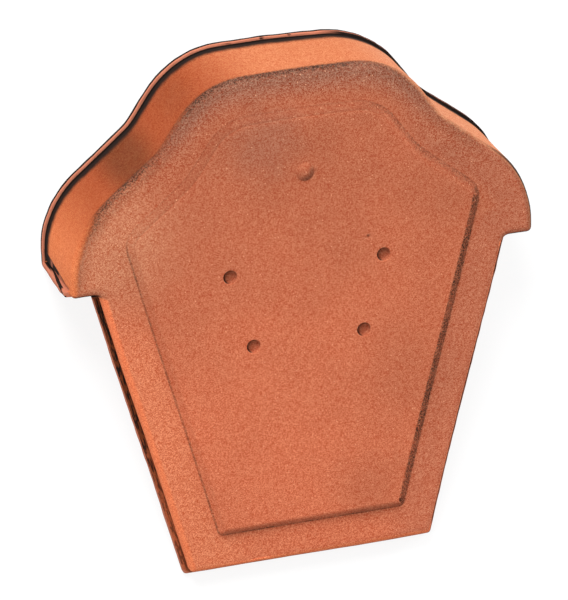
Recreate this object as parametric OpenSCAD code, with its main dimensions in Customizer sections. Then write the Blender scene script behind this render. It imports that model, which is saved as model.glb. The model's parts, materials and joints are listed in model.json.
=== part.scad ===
// Ridge end tile, pressed and fired in one piece: a plate with an ogee head, a hood behind the head
// that laps over the end of the ridge, a raised panel with blind nail holes, and a thin lip with a
// groove beside it where the halves of the mould met. Millimetres. The tile lies face up, as it
// comes to rest: on the lip of its bottom edge and on the two lower ends of the hood.

/* [Face] */
// Width over the shoulders
tile_w = 250; // [236:1:270]
// Height from the bottom edge to the crown
tile_h = 272; // [262:1:290]
// Width of the bottom edge
foot_w = 134; // [110:1:160]
// Width of the plate at the notch under the shoulders
neck_w = 220; // [190:1:226]
// Height of the notch above the bottom edge
neck_y = 164; // [150:1:175]
// Height of the shoulder's corner above the notch, before rounding
shoulder_h = 33.5; // [32:0.5:42]
// Width between the hollows of the ogee, before rounding
valley_w = 154; // [140:1:170]
// Depth of the hollows below the crown, before rounding
valley_drop = 36; // [32:0.5:44]
// Width of the crown, before rounding
crown_w = 105; // [96:1:120]
// Rise of the crown from its corners to its middle
crown_rise = 1.2; // [0.6:0.2:1.6]

/* [Rounding of the face] */
// Corners of the bottom edge
foot_r = 2; // [1:0.5:10]
// Inner corners of the notch
notch_r = 3.5; // [3.5:0.5:6]
// Lower corners of the shoulders
ear_r = 2.5; // [1.5:0.5:6]
// Tops of the shoulders
shoulder_r = 49; // [30:1:50]
// Hollows of the ogee
valley_r = 30; // [15:1:60]
// Corners of the crown
crown_r = 47; // [35:1:48]
// Middle of the crown
crown_top_r = 600; // [300:10:700]
// Front edge of the plate
edge_r = 4; // [1.5:0.25:4]

/* [Plate and hood] */
// Thickness of the plate, without the panel
plate_t = 11; // [11:0.5:20]
// Depth of the hood, from the face to its back edge
hood_d = 53; // [40:1:80]
// Thickness of the hood's wall
wall_t = 11; // [8:0.5:15]
// Lower back corners of the hood, on which the tile rests
end_r = 4; // [1:0.5:6]

/* [Lip] */
// How far the lip stands out of the hood
hood_lip_out = 1.4; // [1:0.2:3]
// Thickness of the lip at the back of the hood
hood_lip_t = 3.5; // [2:0.25:6]
// Thickness of the lip along the lower ends of the hood
end_lip_t = 3.25; // [2:0.25:5]
// How far the lip stands out of the plate
plate_lip_out = 3; // [1:0.25:3.25]
// Thickness of the lip at the back of the plate
plate_lip_t = 3; // [1.5:0.25:4]
// Lower corners of the plate's lip
lip_r = 2; // [1:0.5:6]
// Width of the groove beside the lip
groove_w = 1.5; // [1:0.25:2.5]
// Depth of the groove
groove_d = 1; // [0.4:0.2:2.4]

/* [Panel] */
// Border between the edge of the tile and the foot of the panel
border = 20; // [16:0.5:26]
// Height of the panel above the face
panel_h = 3; // [1.5:0.25:5]
// Width of the panel's sloping edge
slope_w = 4.5; // [4:0.5:9]
// Lower corners of the panel
panel_foot_r = 3; // [2:0.5:15]
// Side corners of the panel
panel_side_r = 12; // [9:0.5:20]

/* [Nail holes] */
// Diameter of the holes
hole_d = 7.2; // [5:0.1:9]
// Depth of the holes, which are drilled on through the plate where a nail is needed
hole_deep = 2.5; // [1.5:0.25:5]
// Distance between the upper holes
upper_gap = 83.5; // [70:0.5:100]
// Height of the upper holes
upper_y = 166; // [155:0.5:180]
// Distance between the lower holes
lower_gap = 60.5; // [45:0.5:70]
// Height of the lower holes
lower_y = 125.5; // [110:0.5:140]
// Height of the knob above the bottom edge
knob_y = 218; // [205:0.5:225]
// Diameter of the knob
knob_d = 10; // [6:0.5:14]
// How far the knob stands out of the panel
knob_h = 1.5; // [1:0.25:2.5]

/* [Hidden] */
$fn = 48;
slack = 1;
tight_r = 0.5;
small_n = 3;
large_n = 10;
roll_n = 4;

// Where the grooves and lips lie behind the face
plate_lip = plate_t - plate_lip_t;
plate_groove = plate_lip - groove_w;
hood_lip = hood_d - hood_lip_t;
hood_groove = hood_lip - groove_w;

// An outline is a list of corners, anticlockwise, each [x, y, radius, number of facets]
function xy(c) = [c[0], c[1]];
function unit(v) = v / norm(v);
function left(v) = [-v[1], v[0]];
function turned(v, a) = [v[0] * cos(a) - v[1] * sin(a), v[0] * sin(a) + v[1] * cos(a)];
function way(o, i) = unit(xy(o[(i + 1) % len(o)]) - xy(o[i % len(o)]));
function way_in(o, i) = way(o, i + len(o) - 1);
function bend(o, i) = atan2(cross(way_in(o, i), way(o, i)), way_in(o, i) * way(o, i));
function flipped(c) = [-c[0], c[1], c[2], c[3]];
function mirrored(half, middle = []) =
    concat(half, middle, [for (i = [len(half) - 1 : -1 : 0]) flipped(half[i])]);

// The outline moved inwards by d, with its corners still concentric until they are tight
function inset(o, d) = [
    for (i = [0 : len(o) - 1])
        let (a = way_in(o, i), b = way(o, i), q = xy(o[i]) + d * (left(a) + left(b)) / (1 + a * b))
        [q[0], q[1], max(o[i][2] - sign(bend(o, i)) * d, tight_r), o[i][3]]
];

// The points of an outline, with each corner drawn as an arc
function points(o) = [
    for (i = [0 : len(o) - 1])
        let (
            t = bend(o, i), a = way_in(o, i), out = -sign(t) * o[i][2] * left(a),
            centre = xy(o[i]) - o[i][2] * tan(abs(t) / 2) * a - out
        )
        each [for (k = [0 : o[i][3]]) centre + turned(out, t * k / max(o[i][3], 1))]
];

// Where the side of the plate, drawn on upwards, is at height y
function side_x(y) = (foot_w + (neck_w - foot_w) * y / neck_y) / 2;

// The whole face: foot, notch, ear, shoulder, hollow and crown
face = mirrored([
    [foot_w / 2, 0, foot_r, small_n],
    [neck_w / 2, neck_y, notch_r, small_n],
    [tile_w / 2, neck_y, ear_r, small_n],
    [tile_w / 2, neck_y + shoulder_h, shoulder_r, large_n],
    [valley_w / 2, tile_h - valley_drop, valley_r, small_n],
    [crown_w / 2, tile_h - crown_rise, crown_r, large_n]
], [[0, tile_h, crown_top_r, small_n]]);

// The head alone, moved inwards by d, down to the height low
function head(d, low) = let (f = inset(face, d))
    mirrored([[f[3][0], low, 0, 0], f[3], f[4], f[5]], [f[6]]);

// The plate under the shoulders, moved inwards by d, with foot corners of radius r, and drawn up
// into the head
function skirt(d, r) =
    let (f = inset(face, d), top = neck_y + end_lip_t, up = (top - f[0][1]) / (f[1][1] - f[0][1]))
    mirrored([[f[0][0], f[0][1], r, small_n], [f[0][0] + (f[1][0] - f[0][0]) * up, top, 0, 0]]);

// The panel passes over the notch: its side meets the slope of the shoulder
slope_k = (face[4][1] - face[3][1]) / (face[4][0] - face[3][0]);
side_k = (neck_w - foot_w) / (2 * neck_y);
side_y = (face[3][1] + slope_k * (foot_w / 2 - tile_w / 2)) / (1 - slope_k * side_k);
panel_edge = mirrored([
    [foot_w / 2, 0, panel_foot_r + border, small_n],
    [side_x(side_y), side_y, panel_side_r + border, small_n],
    face[4],
    face[5]
], [face[6]]);

// Lean and place of the tile at rest: the floor meets the plate's lip and the round corners of the hood
foot_to_end = [neck_y + end_r + plate_lip_out, hood_d - end_r - plate_t];
tilt = atan(foot_to_end[1] / foot_to_end[0]) + asin(end_r / norm(foot_to_end));
rest_z = plate_t * cos(tilt) + plate_lip_out * sin(tilt);
low_y = min(edge_r * (cos(tilt) + sin(tilt) - 1), plate_lip * sin(tilt) - plate_lip_out * cos(tilt));
lip_top = max([for (p = points(inset(face, -hood_lip_out))) p[1]]);
high_y = lip_top * cos(tilt) + hood_d * sin(tilt);

// Band that carries a section round an outline; the section's points are [inset, height], anticlockwise
module band(o, section) {
    ring = [for (q = section) [for (p = points(inset(o, q[0]))) [p[0], p[1], q[1]]]];
    n = len(ring[0]);
    m = len(ring);
    polyhedron(
        points = [for (r = ring) each r],
        faces = [
            for (k = [0 : m - 1], i = [0 : n - 1])
                let (a = k * n + i, b = k * n + (i + 1) % n, up = ((k + 1) % m - k) * n)
                each [[a, a + up, b + up], [a, b + up, b]]
        ]
    );
}

// Outline drawn out between two depths behind the face
module slab(o, front, back) {
    translate([0, 0, -back]) linear_extrude(back - front) polygon(points(o));
}

// Front of the plate, with its rolled edge
module plate_front() {
    roll = [for (k = [0 : roll_n]) let (a = 90 * k / roll_n) edge_r * [1 - cos(a), sin(a) - 1]];
    slab(inset(face, edge_r), 0, plate_groove);
    band(face, concat([[edge_r, -plate_groove], [0, -plate_groove]], roll));
}

// Back of the plate under the shoulders, with its groove and lip
module plate_back() {
    slab(skirt(groove_d, max(foot_r - groove_d, tight_r)), plate_groove, plate_lip);
    slab(skirt(-plate_lip_out, lip_r), plate_lip, plate_t);
}

// Hood with its groove and lip round the back, down into the lips of its lower ends
module hood() {
    low = neck_y + end_lip_t / 2;
    slab(head(0, low), plate_groove, hood_groove);
    slab(head(groove_d, low), hood_groove, hood_lip);
    slab(head(-hood_lip_out, low), hood_lip, hood_d);
}

// Space for the end of the ridge: open at the back and between the lower ends of the hood
module hollow() {
    slab(head(wall_t, neck_y - slack), plate_t, hood_d + slack);
}

// Lip along the lower ends of the hood, the groove above it and the round corners behind it
module end_lips() {
    inner = neck_w / 2 - wall_t;
    outer = tile_w / 2 + hood_lip_out;
    top = neck_y + end_lip_t;
    for (s = [0, 1])
        mirror([s, 0, 0]) slab([
            [inner, neck_y, 0, 0], [outer, neck_y, end_lip_t / 2, small_n], [outer, top, 0, 0], [inner, top, 0, 0]
        ], plate_groove, hood_d);
}
module end_grooves() {
    for (s = [-1, 1])
        translate([s * tile_w / 2, neck_y + end_lip_t + groove_w / 2, -(plate_groove + hood_lip) / 2])
            cube([2 * groove_d, groove_w, hood_lip - plate_groove], center = true);
}
module end_rounds() {
    cut_w = tile_w + 4 * hood_lip_out;
    block = end_r + slack;
    translate([0, neck_y + end_r, end_r - hood_d])
        difference() {
            translate([-cut_w / 2, -block, -block]) cube([cut_w, block, block]);
            rotate([0, 90, 0]) cylinder(h = cut_w + 2 * slack, r = end_r, center = true);
        }
}

// Raised panel with a soft shoulder, and the knob near its top
module panel() {
    slab(inset(panel_edge, border + slope_w), -panel_h, slack);
    band(panel_edge, [
        [border + slope_w, -slack], [border, -slack], [border, 0], [border + 0.4 * slope_w, 0.6 * panel_h],
        [border + 0.7 * slope_w, 0.9 * panel_h], [border + slope_w, panel_h]
    ]);
    translate([0, knob_y, panel_h]) knob();
}

// Cap of a ball, with its rim sunk into the panel
module knob() {
    ball_r = (knob_d * knob_d / 4 + knob_h * knob_h) / (2 * knob_h);
    intersection() {
        translate([0, 0, knob_h - ball_r]) sphere(ball_r);
        cylinder(h = 4 * knob_h, d = knob_d + 2 * slack, center = true);
    }
}

module nail_holes() {
    for (s = [-1, 1], h = [[upper_gap, upper_y], [lower_gap, lower_y]])
        translate([s * h[0] / 2, h[1], panel_h - hole_deep]) cylinder(h = hole_deep + slack, d = hole_d);
}

module ridge_end_tile() {
    color([0.72, 0.32, 0.18])
        translate([0, -(low_y + high_y) / 2, rest_z]) rotate([tilt, 0, 0])
            difference() {
                union() {
                    plate_front();
                    plate_back();
                    hood();
                    end_lips();
                    panel();
                }
                end_grooves();
                end_rounds();
                hollow();
                nail_holes();
            }
}

ridge_end_tile();
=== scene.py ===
import bmesh
import bpy
import json
import math
import numpy as np
from mathutils import Matrix, Vector, noise


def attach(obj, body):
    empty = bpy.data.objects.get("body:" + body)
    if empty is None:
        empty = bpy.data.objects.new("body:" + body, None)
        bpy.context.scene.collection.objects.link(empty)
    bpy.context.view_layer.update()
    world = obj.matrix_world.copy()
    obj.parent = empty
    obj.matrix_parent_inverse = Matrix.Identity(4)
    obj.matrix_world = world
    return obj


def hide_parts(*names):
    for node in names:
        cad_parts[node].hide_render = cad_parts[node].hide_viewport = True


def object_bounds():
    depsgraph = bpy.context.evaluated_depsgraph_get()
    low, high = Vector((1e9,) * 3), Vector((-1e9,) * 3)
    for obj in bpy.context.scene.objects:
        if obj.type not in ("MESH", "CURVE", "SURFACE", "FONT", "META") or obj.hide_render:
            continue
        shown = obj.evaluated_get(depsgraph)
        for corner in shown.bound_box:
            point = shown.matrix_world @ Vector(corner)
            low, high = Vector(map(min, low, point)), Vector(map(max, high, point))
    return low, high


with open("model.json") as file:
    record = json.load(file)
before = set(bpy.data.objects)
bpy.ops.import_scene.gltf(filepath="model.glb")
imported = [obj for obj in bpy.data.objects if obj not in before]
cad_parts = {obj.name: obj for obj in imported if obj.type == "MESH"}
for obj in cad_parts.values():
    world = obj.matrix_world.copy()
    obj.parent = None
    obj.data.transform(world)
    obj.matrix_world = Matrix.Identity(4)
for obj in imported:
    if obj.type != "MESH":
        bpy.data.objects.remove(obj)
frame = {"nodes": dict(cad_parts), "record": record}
cad_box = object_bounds()

# The tile's body is one piece of clay, pressed between the halves of a mould and fired. It lies face up
# and leans on the lower ends of its hood, so it is worked on in the axes of its mould, in millimetres:
# x across the face, y from the bottom edge up to the crown, z out of the face.
MM = 0.001
PLATE_LIP_OUT = 3
HOOD_DEPTH = 53
SAME_POINT = 0.02
FLAT_ANGLE = math.radians(0.6)
cad_tile = frame["nodes"]["ridge_end_tile"]
bores = [m for m in frame["record"]["mounts"] if m["kind"] == "bore"]
nail_axis = Vector(bores[0]["axis"])
lean = math.atan2(-nail_axis.y, nail_axis.z)
stood_up = Matrix.Rotation(-lean, 4, "X")
lowest = [min((stood_up @ v.co)[k] for v in cad_tile.data.vertices) for k in range(3)]
mould_shift = Vector((0, -PLATE_LIP_OUT * MM - lowest[1], -HOOD_DEPTH * MM - lowest[2]))
to_mould = Matrix.Scale(1 / MM, 4) @ Matrix.Translation(mould_shift) @ stood_up
to_floor = to_mould.inverted()

body = bmesh.new()
body.from_mesh(cad_tile.data)
bmesh.ops.transform(body, matrix=to_mould, verts=body.verts)
bmesh.ops.remove_doubles(body, verts=body.verts, dist=SAME_POINT)
bmesh.ops.dissolve_limit(body, angle_limit=FLAT_ANGLE, verts=body.verts, edges=body.edges)

# The face half of the mould drew two lines that marks and colours follow: the outline, where the rolled
# front edge meets the wall behind it, and the foot of the raised panel.
ROLL = 4
NECK = 164
SAME_HEIGHT = 0.05
BEND_ANGLE = math.radians(5)
ARRIS_ANGLE = math.radians(30)


def edges_at(height, least_angle):
    """The edges at one height over the face that turn by at least an angle, as pairs of points."""
    level = [e for e in body.edges if all(abs(v.co.z - height) < SAME_HEIGHT for v in e.verts)]
    return np.array([[v.co[:2] for v in e.verts] for e in level if e.calc_face_angle(0) > least_angle])


def spread(points, line):
    """How far inside a closed line each point is, seen from the front, and the way out to the line."""
    a, b = line[:, 0], line[:, 1]
    run = b - a
    from_a = points[:, None, :2] - a
    share = np.clip((from_a * run).sum(2) / (run * run).sum(1), 0, 1)
    gaps = share[..., None] * run - from_a
    nearest = np.linalg.norm(gaps, axis=2).argmin(1)
    gap = gaps[np.arange(len(points)), nearest]
    climb = np.where(run[:, 1] == 0, 1, run[:, 1])
    passes = (a[:, 1] > points[:, None, 1]) != (b[:, 1] > points[:, None, 1])
    cross_x = a[:, 0] + (points[:, None, 1] - a[:, 1]) * run[:, 0] / climb
    side = np.where((passes & (points[:, None, 0] < cross_x)).sum(1) % 2 == 1, 1, -1)
    distance = np.linalg.norm(gap, axis=1)
    return distance * side, gap * side[:, None] / np.maximum(distance, SAME_POINT)[:, None]


outline = edges_at(-ROLL, BEND_ANGLE)
panel_foot = edges_at(0, ARRIS_ANGLE)

# Every arris of the clay came out of the mould a little blunt. The skin is cut into a grid, finer round
# the knob, the nail holes and the chips, so that it can warp and take marks.
ARRIS_WIDTH = 0.4
ARRIS_SEGMENTS = 2
SKIN_STEP = 2.5
FINE_STEP = 0.7
FINE_MARGIN = 1
KNOB = (Vector((0, 218, 3)), 5)
# A chip's middle, its radius and how much soot it holds
CHIPS = [
    (Vector((-4.5, 272.9, -49.6)), 1.5, 1),
    (Vector((10.5, 273.2, -49.6)), 1.2, 1),
    (Vector((79.8, 50.6, -2)), 1.3, 1),
    (Vector((33.5, 177.25, 3)), 1.2, 0.4)
]
holes = [(to_mould @ Vector(m["pos_m"]), m["dims"]["r_mm"]) for m in bores]


def cut(faces, step):
    """Cuts faces along planes set at even steps along each axis."""
    parts = [*faces, *(e for f in faces for e in f.edges), *(v for f in faces for v in f.verts)]
    for axis in range(3):
        way = Vector(float(k == axis) for k in range(3))
        reach = [v.co[axis] / step for f in faces for v in f.verts]
        for n in range(math.ceil(min(reach)), math.ceil(max(reach))):
            made = bmesh.ops.bisect_plane(
                body, geom=list(dict.fromkeys(parts)), dist=SAME_POINT, plane_co=way * n * step, plane_no=way
            )
            parts = made["geom"]
        faces = [p for p in dict.fromkeys(parts) if isinstance(p, bmesh.types.BMFace)]


def cut_finely(middle, reach):
    """Cuts the skin round a middle finely."""
    near = [f for f in body.faces if (f.calc_center_median() - middle).length < reach]
    cut(near, FINE_STEP)


arrises = [e for e in body.edges if e.calc_face_angle(0) > ARRIS_ANGLE]
bmesh.ops.bevel(
    body, geom=arrises, offset=ARRIS_WIDTH, offset_type="OFFSET", segments=ARRIS_SEGMENTS, profile=0.5,
    affect="EDGES", material=-1, clamp_overlap=False
)
cut(list(body.faces), SKIN_STEP)
for middle, radius in [KNOB, *holes]:
    cut_finely(middle, radius + FINE_MARGIN)
for middle, radius, soot in CHIPS:
    cut_finely(middle, 2 * radius)

# Pressed clay warps a little as it dries, and its edges pull out of true by about a millimetre. The thin
# lip, squeezed out where the halves of the mould meet, is wavy, chipped in places, and thicker at the
# hood's left lower end.
WARP, WARP_SIZE = 0.3, 60
DENT, DENT_SIZE = 0.1, 11
LIP_WAVE, LIP_WAVE_SIZE = 0.3, 7
WAVY_RIM = -1
WAVY_OVER = 5
CHIP_DEPTH = 0.7
# A pull's middle, its reach and how far it goes across and up
PULLS = [
    ((75, 45, 0), 80, (-0.85, 0)),
    ((-35, 0, -5), 45, (0, -0.55)),
    ((40, 0, -5), 45, (0, -0.55)),
    ((-100, 125, -9), 50, (-0.4, 0)),
    ((-72, 248, -51), 24, (-0.3, 0.2)),
    ((-38, 270, -51), 24, (-0.2, 0.8)),
    ((-4, 272, -51), 26, (0, 0.7)),
    ((48, 268, -51), 18, (-0.3, -0.4)),
    ((72, 248, -51), 18, (0.6, 0.4)),
    ((108, 218, -51), 26, (0.6, 0.9)),
    ((126, 170, -2), 11, (0.9, 0)),
    ((-127, 180, -51), 16, (-0.4, 0)),
    ((-117, 164, 0), 10, (0, 0.7))
]
END_SWELL = 1.4
END_RIM = -0.7
END_LEFT = -118
END_TOP = NECK + 4
END_FRONT = -ROLL - 2
END_RUN = (-HOOD_DEPTH - 1, -HOOD_DEPTH + 39)
END_SAG = 0.4
SAG_TOP = NECK + 2
SAG_RUN = (-7, -15)


def rise(values, start, end):
    """The share of the way from a start to an end, held between 0 and 1."""
    return np.clip((values - start) / (end - start), 0, 1)


body.normal_update()
places = np.array([v.co[:] for v in body.verts])
normals = np.array([v.normal[:] for v in body.verts])
x, y, z = places.T
rim, way_out = spread(places, outline)
foot, panel_way = spread(places, panel_foot)
pulled = np.zeros((len(places), 3))
for middle, reach, way in PULLS:
    pulled[:, :2] += np.exp(-((places - middle) ** 2).sum(1) / reach ** 2)[:, None] * np.array(way)
left_end = (rim < END_RIM) & (x < END_LEFT) & (y < END_TOP) & (z < END_FRONT)
swollen = END_SWELL * left_end * rise(z, *END_RUN)
pulled[:, 0] -= swollen
pulled[:, 1] -= END_SAG * swollen * (y < SAG_TOP) * rise(z, *SAG_RUN)
chipped = np.zeros(len(places))
for index, v in enumerate(body.verts):
    swell = WARP * noise.noise(v.co / WARP_SIZE) + DENT * noise.noise(v.co / DENT_SIZE)
    if rim[index] < WAVY_RIM and v.co.y > WAVY_OVER:
        swell += LIP_WAVE * noise.noise(v.co / LIP_WAVE_SIZE)
    for middle, radius, soot in CHIPS:
        bite = max(0, 1 - (v.co - middle).length / radius)
        swell -= bite * radius * CHIP_DEPTH
        chipped[index] = max(chipped[index], soot * min(1, 2 * bite))
    v.co += v.normal * swell + Vector(pulled[index])

# The fired tile is that one body, set down on the floor. It rests on the lip of its bottom edge and on the
# lower back corners of its hood, and the warp is kept from reaching below the floor there.
SHARP_ANGLE = math.radians(35)
mesh = bpy.data.meshes.new("fired_tile")
bmesh.ops.transform(body, matrix=to_floor, verts=body.verts)
for v in body.verts:
    v.co.z = max(v.co.z, 0)
body.to_mesh(mesh)
body.free()
mesh.shade_smooth()
mesh.set_sharp_from_angle(angle=SHARP_ANGLE)
tile = bpy.data.objects.new("fired_tile", mesh)
bpy.context.collection.objects.link(tile)
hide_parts("ridge_end_tile")
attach(tile, "root")

# The kiln left the face brown and the wall of the hood orange. The colours meet along the rolled edge,
# further in on the left shoulder. Shade is painted on the panel's slope and in its crease, on the knob, in
# the nail holes and on the edges that face right and down. Marks on the skin say where.
# How far in from the outline the face's colour starts: by the edge's angle, by height on the left shoulder
HEAD_START = [(-180, 2.2), (0, 2.2), (45, 1.8), (70, 0.3), (90, -0.5), (180, -0.3)]
SHOULDER_START = [
    (160, 3), (186, 3.7), (201, 3), (208, 1.3), (218, -0.3), (235, 0.4), (255, 0.8), (270, 0)
]
PLATE_START = 3
BOTTOM_START = 3
RIGHT_START = 1.5
# How sooty the line between the two colours is, by height
FRINGE = [(160, 0.35), (192, 0.4), (208, 0.9), (226, 1), (238, 0.6), (252, 0.55), (262, 1)]
# Painted shade on the panel's slope, in the crease at its foot and on its lit slope, by the angle it faces
PANEL_SHADE = [
    (-180, 0), (-135, 0.1), (-100, 0.5), (-70, 0.65), (-35, 1), (0, 1), (20, 0.8), (60, 0.5), (90, 0)
]
PANEL_CREASE = [
    (-180, 0.65), (-150, 0.7), (-90, 0.9), (-60, 0.4), (30, 0.6), (60, 0.6), (80, 0), (155, 0), (180, 0.65)
]
PANEL_LIT = [(-180, 0.3), (-150, 0), (40, 0), (80, 1), (140, 1), (180, 0.3)]
# How far an edge has turned to the right or upwards, from none to all of it
ON_OUTLINE = 0.3
PLATE_TURN = (0, -0.667)
LEFT_TURN = (-0.4, -0.733)
RIGHT_TURN = (0.25, 0.875)
DOWN_TURN = (-0.3, -0.8)
UNDER_TURN = (-0.5, -1)
EAR_ACROSS = (100, 110)
BOTTOM_CORNER = 6
EAR_UNDER = NECK - 10
# Where the light comes from, and the painted shade on the knob and painted shadow in the nail holes.
LIT_FROM = np.array([-0.8, 0.6])
KNOB_BLUR = 0.3
KNOB_SKIN = 1
KNOB_TOP = 2.85
KNOB_LIT, KNOB_LIT_SIDE = 0.4, (-0.6, 0.4)
KNOB_SHADE, KNOB_DARK_SIDE = 0.45, (0.3, -0.7)
HOLE_SLACK = 0.1
HOLE_SHADE = 1.3
HOLE_BLUR = 0.5
HOLE_FLOOR_SHADE, HOLE_CAST_SHADOW = 0.2, 0.75


def mark(name, values):
    """A value at each point of the tile's skin that its finish can read."""
    mesh.attributes.new(name, "FLOAT", "POINT").data.foreach_set("value", values.astype(np.float32))


def by_angle(ways, table):
    """A value looked up by the angle of each way, in degrees from the right."""
    return np.interp(np.degrees(np.arctan2(ways[:, 1], ways[:, 0])), *zip(*table))


def by_height(table):
    """A value looked up by each point's height on the tile."""
    return np.interp(y, *zip(*table))


def around(middle):
    """How far each point is from a middle, seen from the front, and how much it lies towards the light."""
    offset = places[:, :2] - np.array(middle[:2])
    distance = np.linalg.norm(offset, axis=1)
    return distance, offset @ LIT_FROM / np.maximum(distance, SAME_POINT)


edge_way = np.where((abs(rim) > ON_OUTLINE)[:, None], way_out, normals[:, :2])
to_right, upward = edge_way.T
plate_start = RIGHT_START + (PLATE_START - RIGHT_START) * rise(to_right, *PLATE_TURN)
head_start = by_angle(edge_way, HEAD_START)
head_start += (by_height(SHOULDER_START) - head_start) * rise(to_right, *LEFT_TURN)
start = np.where(y < NECK - ROLL, plate_start, head_start)
low_start = np.where(y < NECK / 2, BOTTOM_START, 0)
start += (low_start - start) * rise(upward, *DOWN_TURN)
mark("rim", rim)
mark("flash", np.where(z > -ROLL - SAME_HEIGHT, rim, z + ROLL) - start)
mark("fringe", by_height(FRINGE))
mark("panel", foot)
mark("panel_shade", by_angle(panel_way, PANEL_SHADE))
mark("panel_crease", by_angle(panel_way, PANEL_CREASE))
mark("panel_lit", by_angle(panel_way, PANEL_LIT))
# The rolled edges that face right and down, where painted shade goes.
on_ear = np.where(y > NECK, rise(x, *EAR_ACROSS), 1)
mark("right_edge", rise(to_right, *RIGHT_TURN) * (y > BOTTOM_CORNER) * on_ear)
mark("under_edge", rise(upward, *UNDER_TURN) * (y > EAR_UNDER))
mark("chip", chipped)

# Painted shade darkens the knob's lit side a little and its lower right more; a painted shadow falls from the
# upper left rim across each nail hole's floor, which is painted a shade darker.
knob_middle, knob_radius = KNOB
off, lit = around(knob_middle)
on_knob = rise(off, knob_radius + KNOB_BLUR, knob_radius - KNOB_BLUR) * (z > knob_middle.z - KNOB_SKIN)
mark("knob_lit", KNOB_LIT * on_knob * rise(lit, *KNOB_LIT_SIDE))
knob_hole_shade = KNOB_SHADE * on_knob * rise(off, 0, KNOB_TOP) * rise(lit, *KNOB_DARK_SIDE)
half_hole = bores[0]["dims"]["length_mm"] / 2
for middle, radius in holes:
    off, lit = around(middle)
    from_shade = np.sqrt(np.maximum(off ** 2 + 2 * off * lit * HOLE_SHADE + HOLE_SHADE ** 2, 0))
    in_hole = (off < radius + HOLE_SLACK) & (abs(z - middle.z) < half_hole + HOLE_SLACK)
    hole_shadow = HOLE_FLOOR_SHADE + HOLE_CAST_SHADOW * rise(from_shade, radius - HOLE_BLUR, radius)
    knob_hole_shade = np.maximum(knob_hole_shade, in_hole * hole_shadow)
mark("knob_hole_shade", knob_hole_shade)

# The finish is bare terracotta, neither glazed nor painted, so it is dull all over. The kiln laid its
# colours one over another, and each is placed by the mould's axes and by the marks.
CLAY_GLOSS = 0.06
terracotta = bpy.data.materials.new("terracotta")
terracotta.use_nodes = True
mesh.materials.append(terracotta)
tree = terracotta.node_tree
shader = tree.nodes["Principled BSDF"]
shader.inputs["Specular IOR Level"].default_value = CLAY_GLOSS


def place(kind, inputs=None, **settings):
    """One shader node: inputs are values or other nodes' outputs, settings are the node's own choices."""
    made = tree.nodes.new("ShaderNode" + kind)
    for name, value in settings.items():
        setattr(made, name, value)
    for socket, value in (inputs or {}).items():
        if isinstance(value, bpy.types.NodeSocket):
            tree.links.new(value, made.inputs[socket])
        else:
            made.inputs[socket].default_value = value
    return made


def read(name):
    """What a mark says at a point."""
    return place("Attribute", attribute_name=name).outputs["Fac"]


def ramp(value, start, end, low=0.0, high=1.0):
    """The value taken smoothly from one range to another."""
    sockets = {"Value": value, "From Min": start, "From Max": end, "To Min": low, "To Max": high}
    return place("MapRange", sockets, interpolation_type="SMOOTHSTEP").outputs["Result"]


def maths(operation, first, *others):
    """A sum on values, carried on from left to right."""
    for other in others:
        first = place("Math", {0: first, 1: other}, operation=operation).outputs["Value"]
    return first


def both(*shares):
    """The share that all of the given shares leave."""
    return maths("MULTIPLY", *shares)


def most(*shares):
    """The largest of the given shares."""
    return maths("MAXIMUM", *shares)


def tint(share, under, over, how="MIX"):
    """One colour laid over another."""
    colours = {0: share, 6: under, 7: over}
    return place("Mix", colours, data_type="RGBA", blend_type=how, clamp_factor=True).outputs[2]


def gap_to(middle, points):
    """How far points are from a middle."""
    return place("VectorMath", {0: points, 1: middle}, operation="DISTANCE").outputs["Value"]


def cloud(size, detail=3.0, rough=0.5):
    """Soft clouds of about that size, from 0 to 1."""
    sockets = {"Vector": mould, "Scale": 1 / size, "Detail": detail, "Roughness": rough}
    return place("TexNoise", sockets).outputs["Fac"]


def shaken(value, reach, size):
    """A value made uneven by clouds of about that size."""
    return maths("ADD", value, both(maths("SUBTRACT", cloud(size, 2, 0.6), 0.5), 2 * reach))


mould = place("Mapping", {
    "Vector": place("TexCoord").outputs["Object"], "Location": mould_shift / MM, "Rotation": (-lean, 0, 0),
    "Scale": (1 / MM,) * 3
}).outputs["Vector"]
across, tall, deep = place("SeparateXYZ", {"Vector": mould}).outputs
depth = maths("MULTIPLY", deep, -1)
rim_in = read("rim")

# The face lay open to the flame. It is orange at the foot and brown towards the crown, with ashy, brown and
# smoky stains, a smoky edge round the crown, a smoky border on the right and a warm one on the left.
ORANGE = (0.67, 0.177, 0.085, 1)
BROWN = (0.44, 0.128, 0.064, 1)
ASH = (0.56, 0.198, 0.104, 1)
WARM = (0.78, 0.235, 0.112, 1)
SMOKE = (0.33, 0.132, 0.083, 1)
FLAMED = (30, 275)
FLAME_WAVER = (0.4, 60)
# A stain's middle, its waver and the size of that, its reach, its strength and its colour
STAINS = [
    ((-104, 190, 0), (12, 25), (50, 10), 1, ASH),
    ((56, 95, 0), (12, 25), (55, 5), 0.55, BROWN),
    ((34, 36, 0), (10, 20), (34, 5), 0.45, BROWN),
    ((-21, 237, 3), (10, 14), (30, 2), 0.45, SMOKE)
]
CROWN_EDGE, CROWN_TALL, CROWN_SMOKE = (18, 3), (225, 255), 0.85
# A border's run across and up, its strength and its colour
BORDER_IN = (24, 15)
BORDERS = [((35, 60), (250, 215), 0.28, SMOKE), ((-25, -55), (170, 120), 0.55, WARM)]

colour = tint(shaken(ramp(tall, *FLAMED), *FLAME_WAVER), ORANGE, BROWN)
for middle, waver, reach, strength, stain in STAINS:
    colour = tint(ramp(shaken(gap_to(middle, mould), *waver), *reach, 0, strength), colour, stain)
colour = tint(both(ramp(rim_in, *CROWN_EDGE), ramp(tall, *CROWN_TALL), CROWN_SMOKE), colour, SMOKE)
for run_across, run_up, strength, stain in BORDERS:
    on_border = both(ramp(rim_in, *BORDER_IN), ramp(across, *run_across), ramp(tall, *run_up))
    colour = tint(both(on_border, strength), colour, stain)
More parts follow.
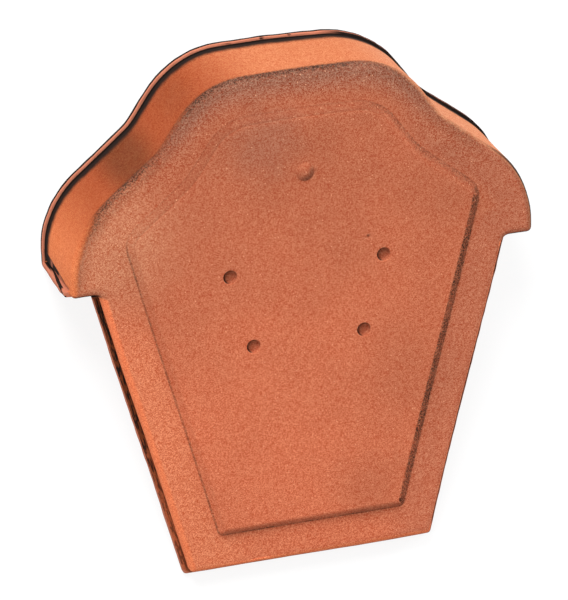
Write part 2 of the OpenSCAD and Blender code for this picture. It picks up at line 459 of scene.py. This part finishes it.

# The panel is a raised field with a sloping edge, pressed with the face. Painted shade darkens its slope
# below and on the right and the crease at its foot, and dims its slope at the upper left and the lit side of
# its knob.
# The grey dims colours under painted shade; the soot colour is the fringe's soot and the painted shade on the
# slope.
SHADE_GREY = (0.7, 0.7, 0.7, 1)
SOOT_AND_SHADE = (0.05, 0.024, 0.015, 1)
FOOT_WAVER = (0.5, 1.2)
SLOPE_START = (-0.8, 0)
FACE_LEVEL = (0.6, 0.2)
HARD_SHADE, HARD_SHADE_PICK = (5, 4), (0.85, 0.97)
SOFT_SHADE = (4.8, 0.4)
CREASE_OUTSIDE, CREASE_INSIDE = (-0.9, -0.1), (1, 0.2)
LIT_SLOPE = (4.4, 3.4)
DOT_SIZE, DOT_EDGE, SLOPE_DOTS = 0.8, (0.4, 0.6), 0.4
PATCH_SIZE, PATCH_EDGE, SLOPE_PATCHES = 12, (0.35, 0.65), 0.75


def dotted(least):
    """Fine dots between a least share and all."""
    return ramp(cloud(DOT_SIZE, 1), *DOT_EDGE, least, 1)


panel_in = read("panel")
panel_shade = read("panel_shade")
uneven_in = shaken(panel_in, *FOOT_WAVER)
on_slope = both(ramp(uneven_in, *SLOPE_START), ramp(depth, *FACE_LEVEL))
hard_shade = both(ramp(uneven_in, *HARD_SHADE), ramp(panel_shade, *HARD_SHADE_PICK))
slope_shade = both(most(hard_shade, ramp(uneven_in, *SOFT_SHADE)), panel_shade)
crease = both(ramp(uneven_in, *CREASE_OUTSIDE), ramp(uneven_in, *CREASE_INSIDE), read("panel_crease"))
lit_slope = both(on_slope, ramp(panel_in, *LIT_SLOPE), read("panel_lit"))
slope_patches = ramp(cloud(PATCH_SIZE), *PATCH_EDGE, SLOPE_PATCHES, 1)
# Painted shade: the lit slope and the knob's lit side a little darker, the slope below and on the right and
# the crease near black.
colour = tint(lit_slope, colour, SHADE_GREY, "MULTIPLY")
colour = tint(both(on_slope, most(slope_shade, crease), dotted(SLOPE_DOTS), slope_patches), colour, SOOT_AND_SHADE)
colour = tint(read("knob_lit"), colour, SHADE_GREY, "MULTIPLY")

# The wall of the hood runs back from the rolled edge of the head. The kiln left it orange, burnt red on the
# left and scorched in the hollow there and at the crown's corner, with a sooty fringe where it meets the
# face. Painted light makes it paler towards the right, and painted shade dims the rolled edge of the head
# on the right. The plate's own edge is a brighter orange.
WALL = (0.47, 0.145, 0.061, 1)
LIT_PALE = (0.53, 0.2, 0.1, 1)
EMBER = (0.66, 0.182, 0.068, 1)
BURNT = (0.315, 0.067, 0.0225, 1)
SCORCH = (0.155, 0.04, 0.014, 1)
EDGE = (0.85, 0.22, 0.092, 1)
OUTSIDE = (3, 2)
LIT_PALE_ACROSS = (30, 60)
LEFT_ACROSS = (-12, -42)
EMBER_TALL = (225, 205)
BURNT_TALL, BURNT_TOP = (178, 218), (280, 264)
# A scorch's middle, its reach and its strength, with depth counted less because it runs back along the wall
SCORCHES = [((-86, 227, -8), (22, 5), 0.9), ((-60, 258, -8), (15, 3), 0.25)]
SCORCH_RUN = (1, 1, 0.3)
SCORCH_WAVER = (0.1, 4)
PLATE_TOP = (NECK + 2, NECK - 2)
FLASH_WAVER, FLASH_WIDTH = (0.7, 2), (-1, 0.8)
SHADE_EDGE_IN, SHADE_EDGE_DEPTH, SHADE_EDGE_TALL = (4.5, 2), (4.6, 3.8), (NECK - 2, NECK + 2)
FRINGE_TALL, FRINGE_IN, FRINGE_ACROSS = (160, 172), (14, 10), (60, 20)
RIGHT_FRINGE_TALL, RIGHT_FRINGE = (195, 235), 0.7
CORE_OUTSIDE, CORE_INSIDE, CORE_SOOT = (-1.8, 0), (2.4, 0.4), 0.4
HAZE_OUTSIDE, HAZE_INSIDE, HAZE_SOOT = (-3, 0), (8, 0.5), 0.6
FRINGE_DOTS = 0.55

outside = ramp(rim_in, *OUTSIDE)
on_left = ramp(across, *LEFT_ACROSS)
run_back = place("VectorMath", {0: mould, 1: SCORCH_RUN}, operation="MULTIPLY").outputs["Vector"]
scorched = most(*(
    ramp(gap_to(middle, run_back), *reach, 0, strength) for middle, reach, strength in SCORCHES
))
# Painted light: the wall is paler towards the right.
wall = tint(ramp(across, *LIT_PALE_ACROSS), WALL, LIT_PALE)
wall = tint(both(on_left, ramp(tall, *EMBER_TALL)), wall, EMBER)
wall = tint(both(on_left, ramp(tall, *BURNT_TALL), ramp(tall, *BURNT_TOP)), wall, BURNT)
wall = tint(both(shaken(scorched, *SCORCH_WAVER), outside), wall, SCORCH)
wall = tint(ramp(tall, *PLATE_TOP), wall, EDGE)
flash = shaken(read("flash"), *FLASH_WAVER)
colour = tint(ramp(flash, *FLASH_WIDTH), wall, colour)
# Painted shade dims the rolled edge of the head on the right.
shaded_edge = both(ramp(tall, *SHADE_EDGE_TALL), ramp(rim_in, *SHADE_EDGE_IN), ramp(depth, *SHADE_EDGE_DEPTH))
colour = tint(both(read("right_edge"), shaded_edge), colour, SHADE_GREY, "MULTIPLY")
fringe_side = most(ramp(across, *FRINGE_ACROSS), ramp(tall, *RIGHT_FRINGE_TALL, 0, RIGHT_FRINGE))
on_fringe = both(ramp(tall, *FRINGE_TALL), ramp(rim_in, *FRINGE_IN), fringe_side)
fringe_core = both(ramp(flash, *CORE_OUTSIDE), ramp(flash, *CORE_INSIDE), CORE_SOOT)
fringe_haze = both(ramp(flash, *HAZE_OUTSIDE), ramp(flash, *HAZE_INSIDE), HAZE_SOOT)
fringe = both(on_fringe, read("fringe"), dotted(FRINGE_DOTS), maths("ADD", fringe_core, fringe_haze))
colour = tint(fringe, colour, SOOT_AND_SHADE)

# The grain is sand and crushed clay in the body: light and dark grains, which show more on the border and
# the head than on the panel and the wall, and a few pale specks. It leaves the skin finely rough.
DARK_GRAIN = (0.71, 0.27, 0.13, 1)
LIGHT_GRAIN = (1.29, 1.73, 1.87, 1)
SPECK = (0.9, 0.46, 0.27, 1)
GRAIN_SIZE = 0.44
PANEL_GRAIN = (2, -4, 0.7, 0.8)
HEAD_GRAIN_TALL, HEAD_GRAIN_IN = (150, 230), (20, 12)
WALL_GRAIN = (-1, 1, 0.65, 1)
SPECK_GAP, SPECK_EDGE, SPECK_SHARE = 1.9, (0.2, 0.12), 0.65
SPECK_PICK, SPECK_FACE = (0.72, 0.9), (0, 3)
DULL_SIZE, DULLNESS = 11, (0.3, 0.7, 0.78, 0.95)
BUMP_SIZE, BUMP_SHARE, BUMP_HEIGHT = 4, 0.4, 0.4 * MM

grains = place("TexVoronoi", {"Vector": mould, "Scale": 1 / GRAIN_SIZE})
grain = place("SeparateColor", {"Color": grains.outputs["Color"]}).outputs[0]
head_grain = both(ramp(tall, *HEAD_GRAIN_TALL), ramp(rim_in, *HEAD_GRAIN_IN))
grain_strength = both(most(ramp(panel_in, *PANEL_GRAIN), head_grain), ramp(flash, *WALL_GRAIN))
grain_share = maths("ADD", both(maths("SUBTRACT", grain, 0.5), grain_strength), 0.5)
colour = tint(1, colour, tint(grain_share, DARK_GRAIN, LIGHT_GRAIN), "MULTIPLY")
specks = place("TexVoronoi", {"Vector": mould, "Scale": 1 / SPECK_GAP})
speck_chance = place("SeparateColor", {"Color": specks.outputs["Color"]}).outputs[1]
speck_pick = ramp(both(speck_chance, ramp(flash, *SPECK_FACE)), *SPECK_PICK)
colour = tint(both(ramp(specks.outputs["Distance"], *SPECK_EDGE), speck_pick, SPECK_SHARE), colour, SPECK)
tree.links.new(ramp(cloud(DULL_SIZE, 4), *DULLNESS), shader.inputs["Roughness"])
relief = maths("ADD", grain, cloud(BUMP_SIZE, 4))
bump = place("Bump", {"Strength": BUMP_SHARE, "Distance": BUMP_HEIGHT, "Height": relief})
tree.links.new(bump.outputs["Normal"], shader.inputs["Normal"])

# The lip is the thin fin of clay that was squeezed out between the halves of the mould: round the back of
# the hood, along its lower ends and along the plate. It is salmon, with soot in the groove beside it.
SALMON = (0.5, 0.17, 0.1, 1)
BLACK = (0.016, 0.01, 0.008, 1)
BELOW_NECK = (NECK + 0.5, NECK - 0.5)
HEAD_TALL, HEAD_FACE_TALL, HEAD_OUT = (NECK - 3, NECK - 2), (NECK, NECK + 1), (0, -0.2)
CRACK_TALL, CRACK_SLOPE, UNDER_CRACK = 167.2, 0.153, (0.4, -0.1)
FIN_OUT, FIN_FRONT, END_WALL = (-0.1, -0.3), (5.4, 6.2), (7, 9)
HOOD_TALL = (167.5, 168.2)
HOOD_GROOVE, HOOD_GROOVE_WAVER = (40.5, 45.5), (1.2, 5)
PLATE_GROOVE, PLATE_GROOVE_WAVER = (6, 7.5), (0.7, 3)
GROOVE_FADE, GROOVE_FADE_WAVER = (20, 100, 0.6, 1), (30, 8)
STREAK_STRETCH, STREAK_SIZE, STREAK_EDGE = 0.13, 0.7, (0.45, 0.55)
HOOD_LIP_SIDE, HOOD_LIP_OUT, HOOD_LIP_ACROSS = (49.2, 49.4), (0, -0.4), (40, 25)
HOOD_LIP_BACK = (49.8, 50)
END_LIP_FRONT, END_LIP_OUT = (47, 44), (-0.4, -0.8)
PLATE_LIP_FRONT, PLATE_LIP_EDGE, PLATE_LIP_WAVER = (7.6, 7.9), (-2.4, -2.8), (0.2, 3)

below = ramp(tall, *BELOW_NECK)
head = both(ramp(tall, *HEAD_TALL), most(ramp(tall, *HEAD_FACE_TALL), ramp(rim_in, *HEAD_OUT)))
over_crack = maths("SUBTRACT", tall, both(depth, CRACK_SLOPE), CRACK_TALL)
on_fin = both(ramp(rim_in, *FIN_OUT), ramp(depth, *FIN_FRONT))
on_end = both(head, ramp(over_crack, *UNDER_CRACK), most(ramp(depth, *END_WALL), on_fin), outside)
on_hood = both(head, ramp(tall, *HOOD_TALL), outside)
hood_groove = both(on_hood, ramp(shaken(depth, *HOOD_GROOVE_WAVER), *HOOD_GROOVE))
groove_fade = ramp(shaken(tall, *GROOVE_FADE_WAVER), *GROOVE_FADE)
plate_groove = both(below, outside, ramp(shaken(depth, *PLATE_GROOVE_WAVER), *PLATE_GROOVE), groove_fade)
along = place("CombineXYZ", {0: rim_in, 1: both(tall, STREAK_STRETCH), 2: depth}).outputs["Vector"]
streaks = place("TexNoise", {"Vector": along, "Scale": 1 / STREAK_SIZE, "Detail": 2}).outputs["Fac"]
hood_lip_side = both(ramp(depth, *HOOD_LIP_SIDE), ramp(rim_in, *HOOD_LIP_OUT), ramp(across, *HOOD_LIP_ACROSS))
hood_lip = both(on_hood, most(hood_lip_side, ramp(depth, *HOOD_LIP_BACK)))
end_lip = both(on_end, most(ramp(depth, *END_LIP_FRONT), ramp(rim_in, *END_LIP_OUT)))
plate_lip_edge = ramp(shaken(rim_in, *PLATE_LIP_WAVER), *PLATE_LIP_EDGE)
plate_lip = both(below, ramp(depth, *PLATE_LIP_FRONT), plate_lip_edge)
colour = tint(plate_groove, colour, SCORCH)
colour = tint(most(hood_groove, both(plate_groove, ramp(streaks, *STREAK_EDGE))), colour, BLACK)
colour = tint(most(hood_lip, end_lip, plate_lip), colour, SALMON)

# The lower ends of the hood are where the lip turns the corner, so the fin is folded and split there. A
# seam slants across each end, a crack runs above it, and both are black with soot.
SEAM_SLANT = (14, 46, -0.9, 0.8)
SEAM_OUTSIDE, SEAM_INSIDE = (-0.5, -0.35), (0.55, 0.4)
SEAM_TALL, SEAM_FRONT, SEAM_BACK = (166.8, 167.1), (12, 14), (49.6, 49.3)
FOLD_DEPTH, FOLD_OUT = (34, 42), (-0.7, -0.4)
TIP_SLANT = (7, 16, 164.4, 167.6)
TIP_OUT, TIP_BACK = (-0.8, -1), (18, 16)
TIP_UNDER, TIP_OVER = (-0.9, -0.6), (1.2, 0.9)
CRACK_WIDTH, CRACK_BACK, CRACK_SOOT = (-0.8, -0.3), (42, 38), 0.8

seam_top = ramp(tall, *SEAM_TALL)
from_seam = maths("SUBTRACT", rim_in, ramp(depth, *SEAM_SLANT))
seam_line = both(ramp(from_seam, *SEAM_OUTSIDE), ramp(from_seam, *SEAM_INSIDE))
on_seam = both(seam_line, seam_top, ramp(depth, *SEAM_FRONT))
in_fold = both(ramp(depth, *FOLD_DEPTH), ramp(rim_in, *FOLD_OUT), seam_top)
over_tip = maths("SUBTRACT", tall, ramp(depth, *TIP_SLANT))
at_tip = both(ramp(rim_in, *TIP_OUT), ramp(depth, *TIP_BACK))
on_tip = both(at_tip, ramp(over_tip, *TIP_UNDER), ramp(over_tip, *TIP_OVER))
seam = both(on_end, most(on_seam, in_fold, on_tip), ramp(depth, *SEAM_BACK))
crack = both(on_end, ramp(over_crack, *CRACK_WIDTH), ramp(depth, *CRACK_BACK), CRACK_SOOT)

# The arris at the back of the lip is black too, and soot has caught in the chips. Painted shade blackens the
# rolled edges that face right and down and darkens the knob's lower right, and a painted shadow falls into
# the nail holes. It is the last of the colours.
BACK_ARRIS, BACK_ARRIS_WAVER = (50.3, 51.1), (0.3, 6)
END_ARRIS = (NECK + 0.3, NECK - 0.3)
ROLL_DEPTH = (5.2, 4.2)
RIGHT_LINE = (1.4, 0.7)
UNDER_LINE = (1.6, 0.9)

back_arris = both(head, outside, ramp(shaken(depth, *BACK_ARRIS_WAVER), *BACK_ARRIS))
end_arris = both(on_end, ramp(tall, *END_ARRIS))
on_roll = ramp(depth, *ROLL_DEPTH)
# Painted shade: black lines along the rolled edges that face right and down.
right_shade_line = both(read("right_edge"), on_roll, ramp(rim_in, *RIGHT_LINE))
under_shade_line = both(read("under_edge"), on_roll, ramp(rim_in, *UNDER_LINE))
black_arrises = most(back_arris, end_arris, right_shade_line, under_shade_line)
colour = tint(most(black_arrises, seam, crack, read("knob_hole_shade"), read("chip")), colour, BLACK)
tree.links.new(colour, shader.inputs["Base Color"])

# The floor is a plain pale sheet of paper that keeps the tile's soft shadow. Looked at straight, it glows
# enough to be as white as the paper behind a catalogue picture.
FLOOR_SIZE = 6
PAPER = (0.8, 0.8, 0.8, 1)
SEEN_PAPER = (0.2, 0.2, 0.2, 1)
PAPER_GLOW = 0.84
floor_mesh = bpy.data.meshes.new("floor")
sheet = bmesh.new()
bmesh.ops.create_grid(sheet, x_segments=1, y_segments=1, size=FLOOR_SIZE / 2)
sheet.to_mesh(floor_mesh)
sheet.free()
floor = bpy.data.objects.new("floor", floor_mesh)
bpy.context.collection.objects.link(floor)
paper = bpy.data.materials.new("floor")
paper.use_nodes = True
tree = paper.node_tree
tree.nodes.clear()
pale = place("BsdfDiffuse", {"Color": PAPER})
thin = place("BsdfDiffuse", {"Color": SEEN_PAPER})
glow = place("Emission", {"Strength": PAPER_GLOW})
seen = place("AddShader", {0: thin.outputs[0], 1: glow.outputs[0]})
path = place("LightPath").outputs
looked_at = maths("MAXIMUM", path["Is Camera Ray"], path["Is Glossy Ray"])
sheet_shader = place("MixShader", {0: looked_at, 1: pale.outputs[0], 2: seen.outputs[0]})
place("OutputMaterial", {"Surface": sheet_shader.outputs[0]})
floor_mesh.materials.append(paper)

# The studio is evenly bright. A large round lamp stands over the crown, a little to the left, a weak one at
# the left and a middling one low at the right.
LAMP_DISTANCE = 1.8
LAMP_SIZE = 0.9
LAMPS = {"key": (31, (-0.25, 0.7, 0.6)), "fill": (6, (-0.8, 0.1, 0.6)), "side": (16, (0.85, 0.5, 0.3))}
STUDIO_WHITE = (1, 1, 1, 1)
STUDIO_LIGHT = 0.5
scene = bpy.context.scene
scene.view_settings.view_transform = "Standard"
world = bpy.data.worlds.new("studio")
scene.world = world
world.use_nodes = True
background = world.node_tree.nodes["Background"]
background.inputs["Color"].default_value = STUDIO_WHITE
background.inputs["Strength"].default_value = STUDIO_LIGHT
box_middle = (cad_box[0] + cad_box[1]) / 2
for name, (energy, way) in LAMPS.items():
    lamp = bpy.data.lights.new(name, "AREA")
    lamp.shape = "DISK"
    lamp.size = LAMP_SIZE
    lamp.energy = energy
    lamp_object = bpy.data.objects.new(name, lamp)
    bpy.context.collection.objects.link(lamp_object)
    lamp_object.location = box_middle + Vector(way).normalized() * LAMP_DISTANCE
    lamp_object.rotation_mode = "QUATERNION"
    lamp_object.rotation_quaternion = Vector(way).to_track_quat("Z", "Y")

# The camera stands far off, at the upper left of the face, and looks a little down on it. Its turns are
# about the mould's axes, and the picture's height in pixels sets its lens.
VIEW_TURN = math.radians(17.84)
VIEW_DROP = math.radians(22.87)
VIEW_ROLL = math.radians(-1.60)
VIEW_DISTANCE = 2500
AIM = Vector((-12.3, 147.6, 0))
PIXELS_PER_MM = 1.936
IMAGE_HEIGHT = 600
SENSOR = 36
level_right = Vector((math.cos(VIEW_TURN), 0, math.sin(VIEW_TURN)))
level_ahead = Vector((math.sin(VIEW_TURN), 0, -math.cos(VIEW_TURN)))
ahead = math.cos(VIEW_DROP) * level_ahead - math.sin(VIEW_DROP) * Vector((0, 1, 0))
level_up = level_right.cross(ahead)
right = math.cos(VIEW_ROLL) * level_right + math.sin(VIEW_ROLL) * level_up
up = math.cos(VIEW_ROLL) * level_up - math.sin(VIEW_ROLL) * level_right
lens = bpy.data.cameras.new("camera")
lens.sensor_width = SENSOR
lens.lens = PIXELS_PER_MM * VIEW_DISTANCE / IMAGE_HEIGHT * SENSOR
camera = bpy.data.objects.new("camera", lens)
bpy.context.collection.objects.link(camera)
turn = to_floor.to_3x3().normalized() @ Matrix((right, up, -ahead)).transposed()
camera.matrix_world = Matrix.Translation(to_floor @ (AIM - VIEW_DISTANCE * ahead)) @ turn.to_4x4()
scene.camera = camera
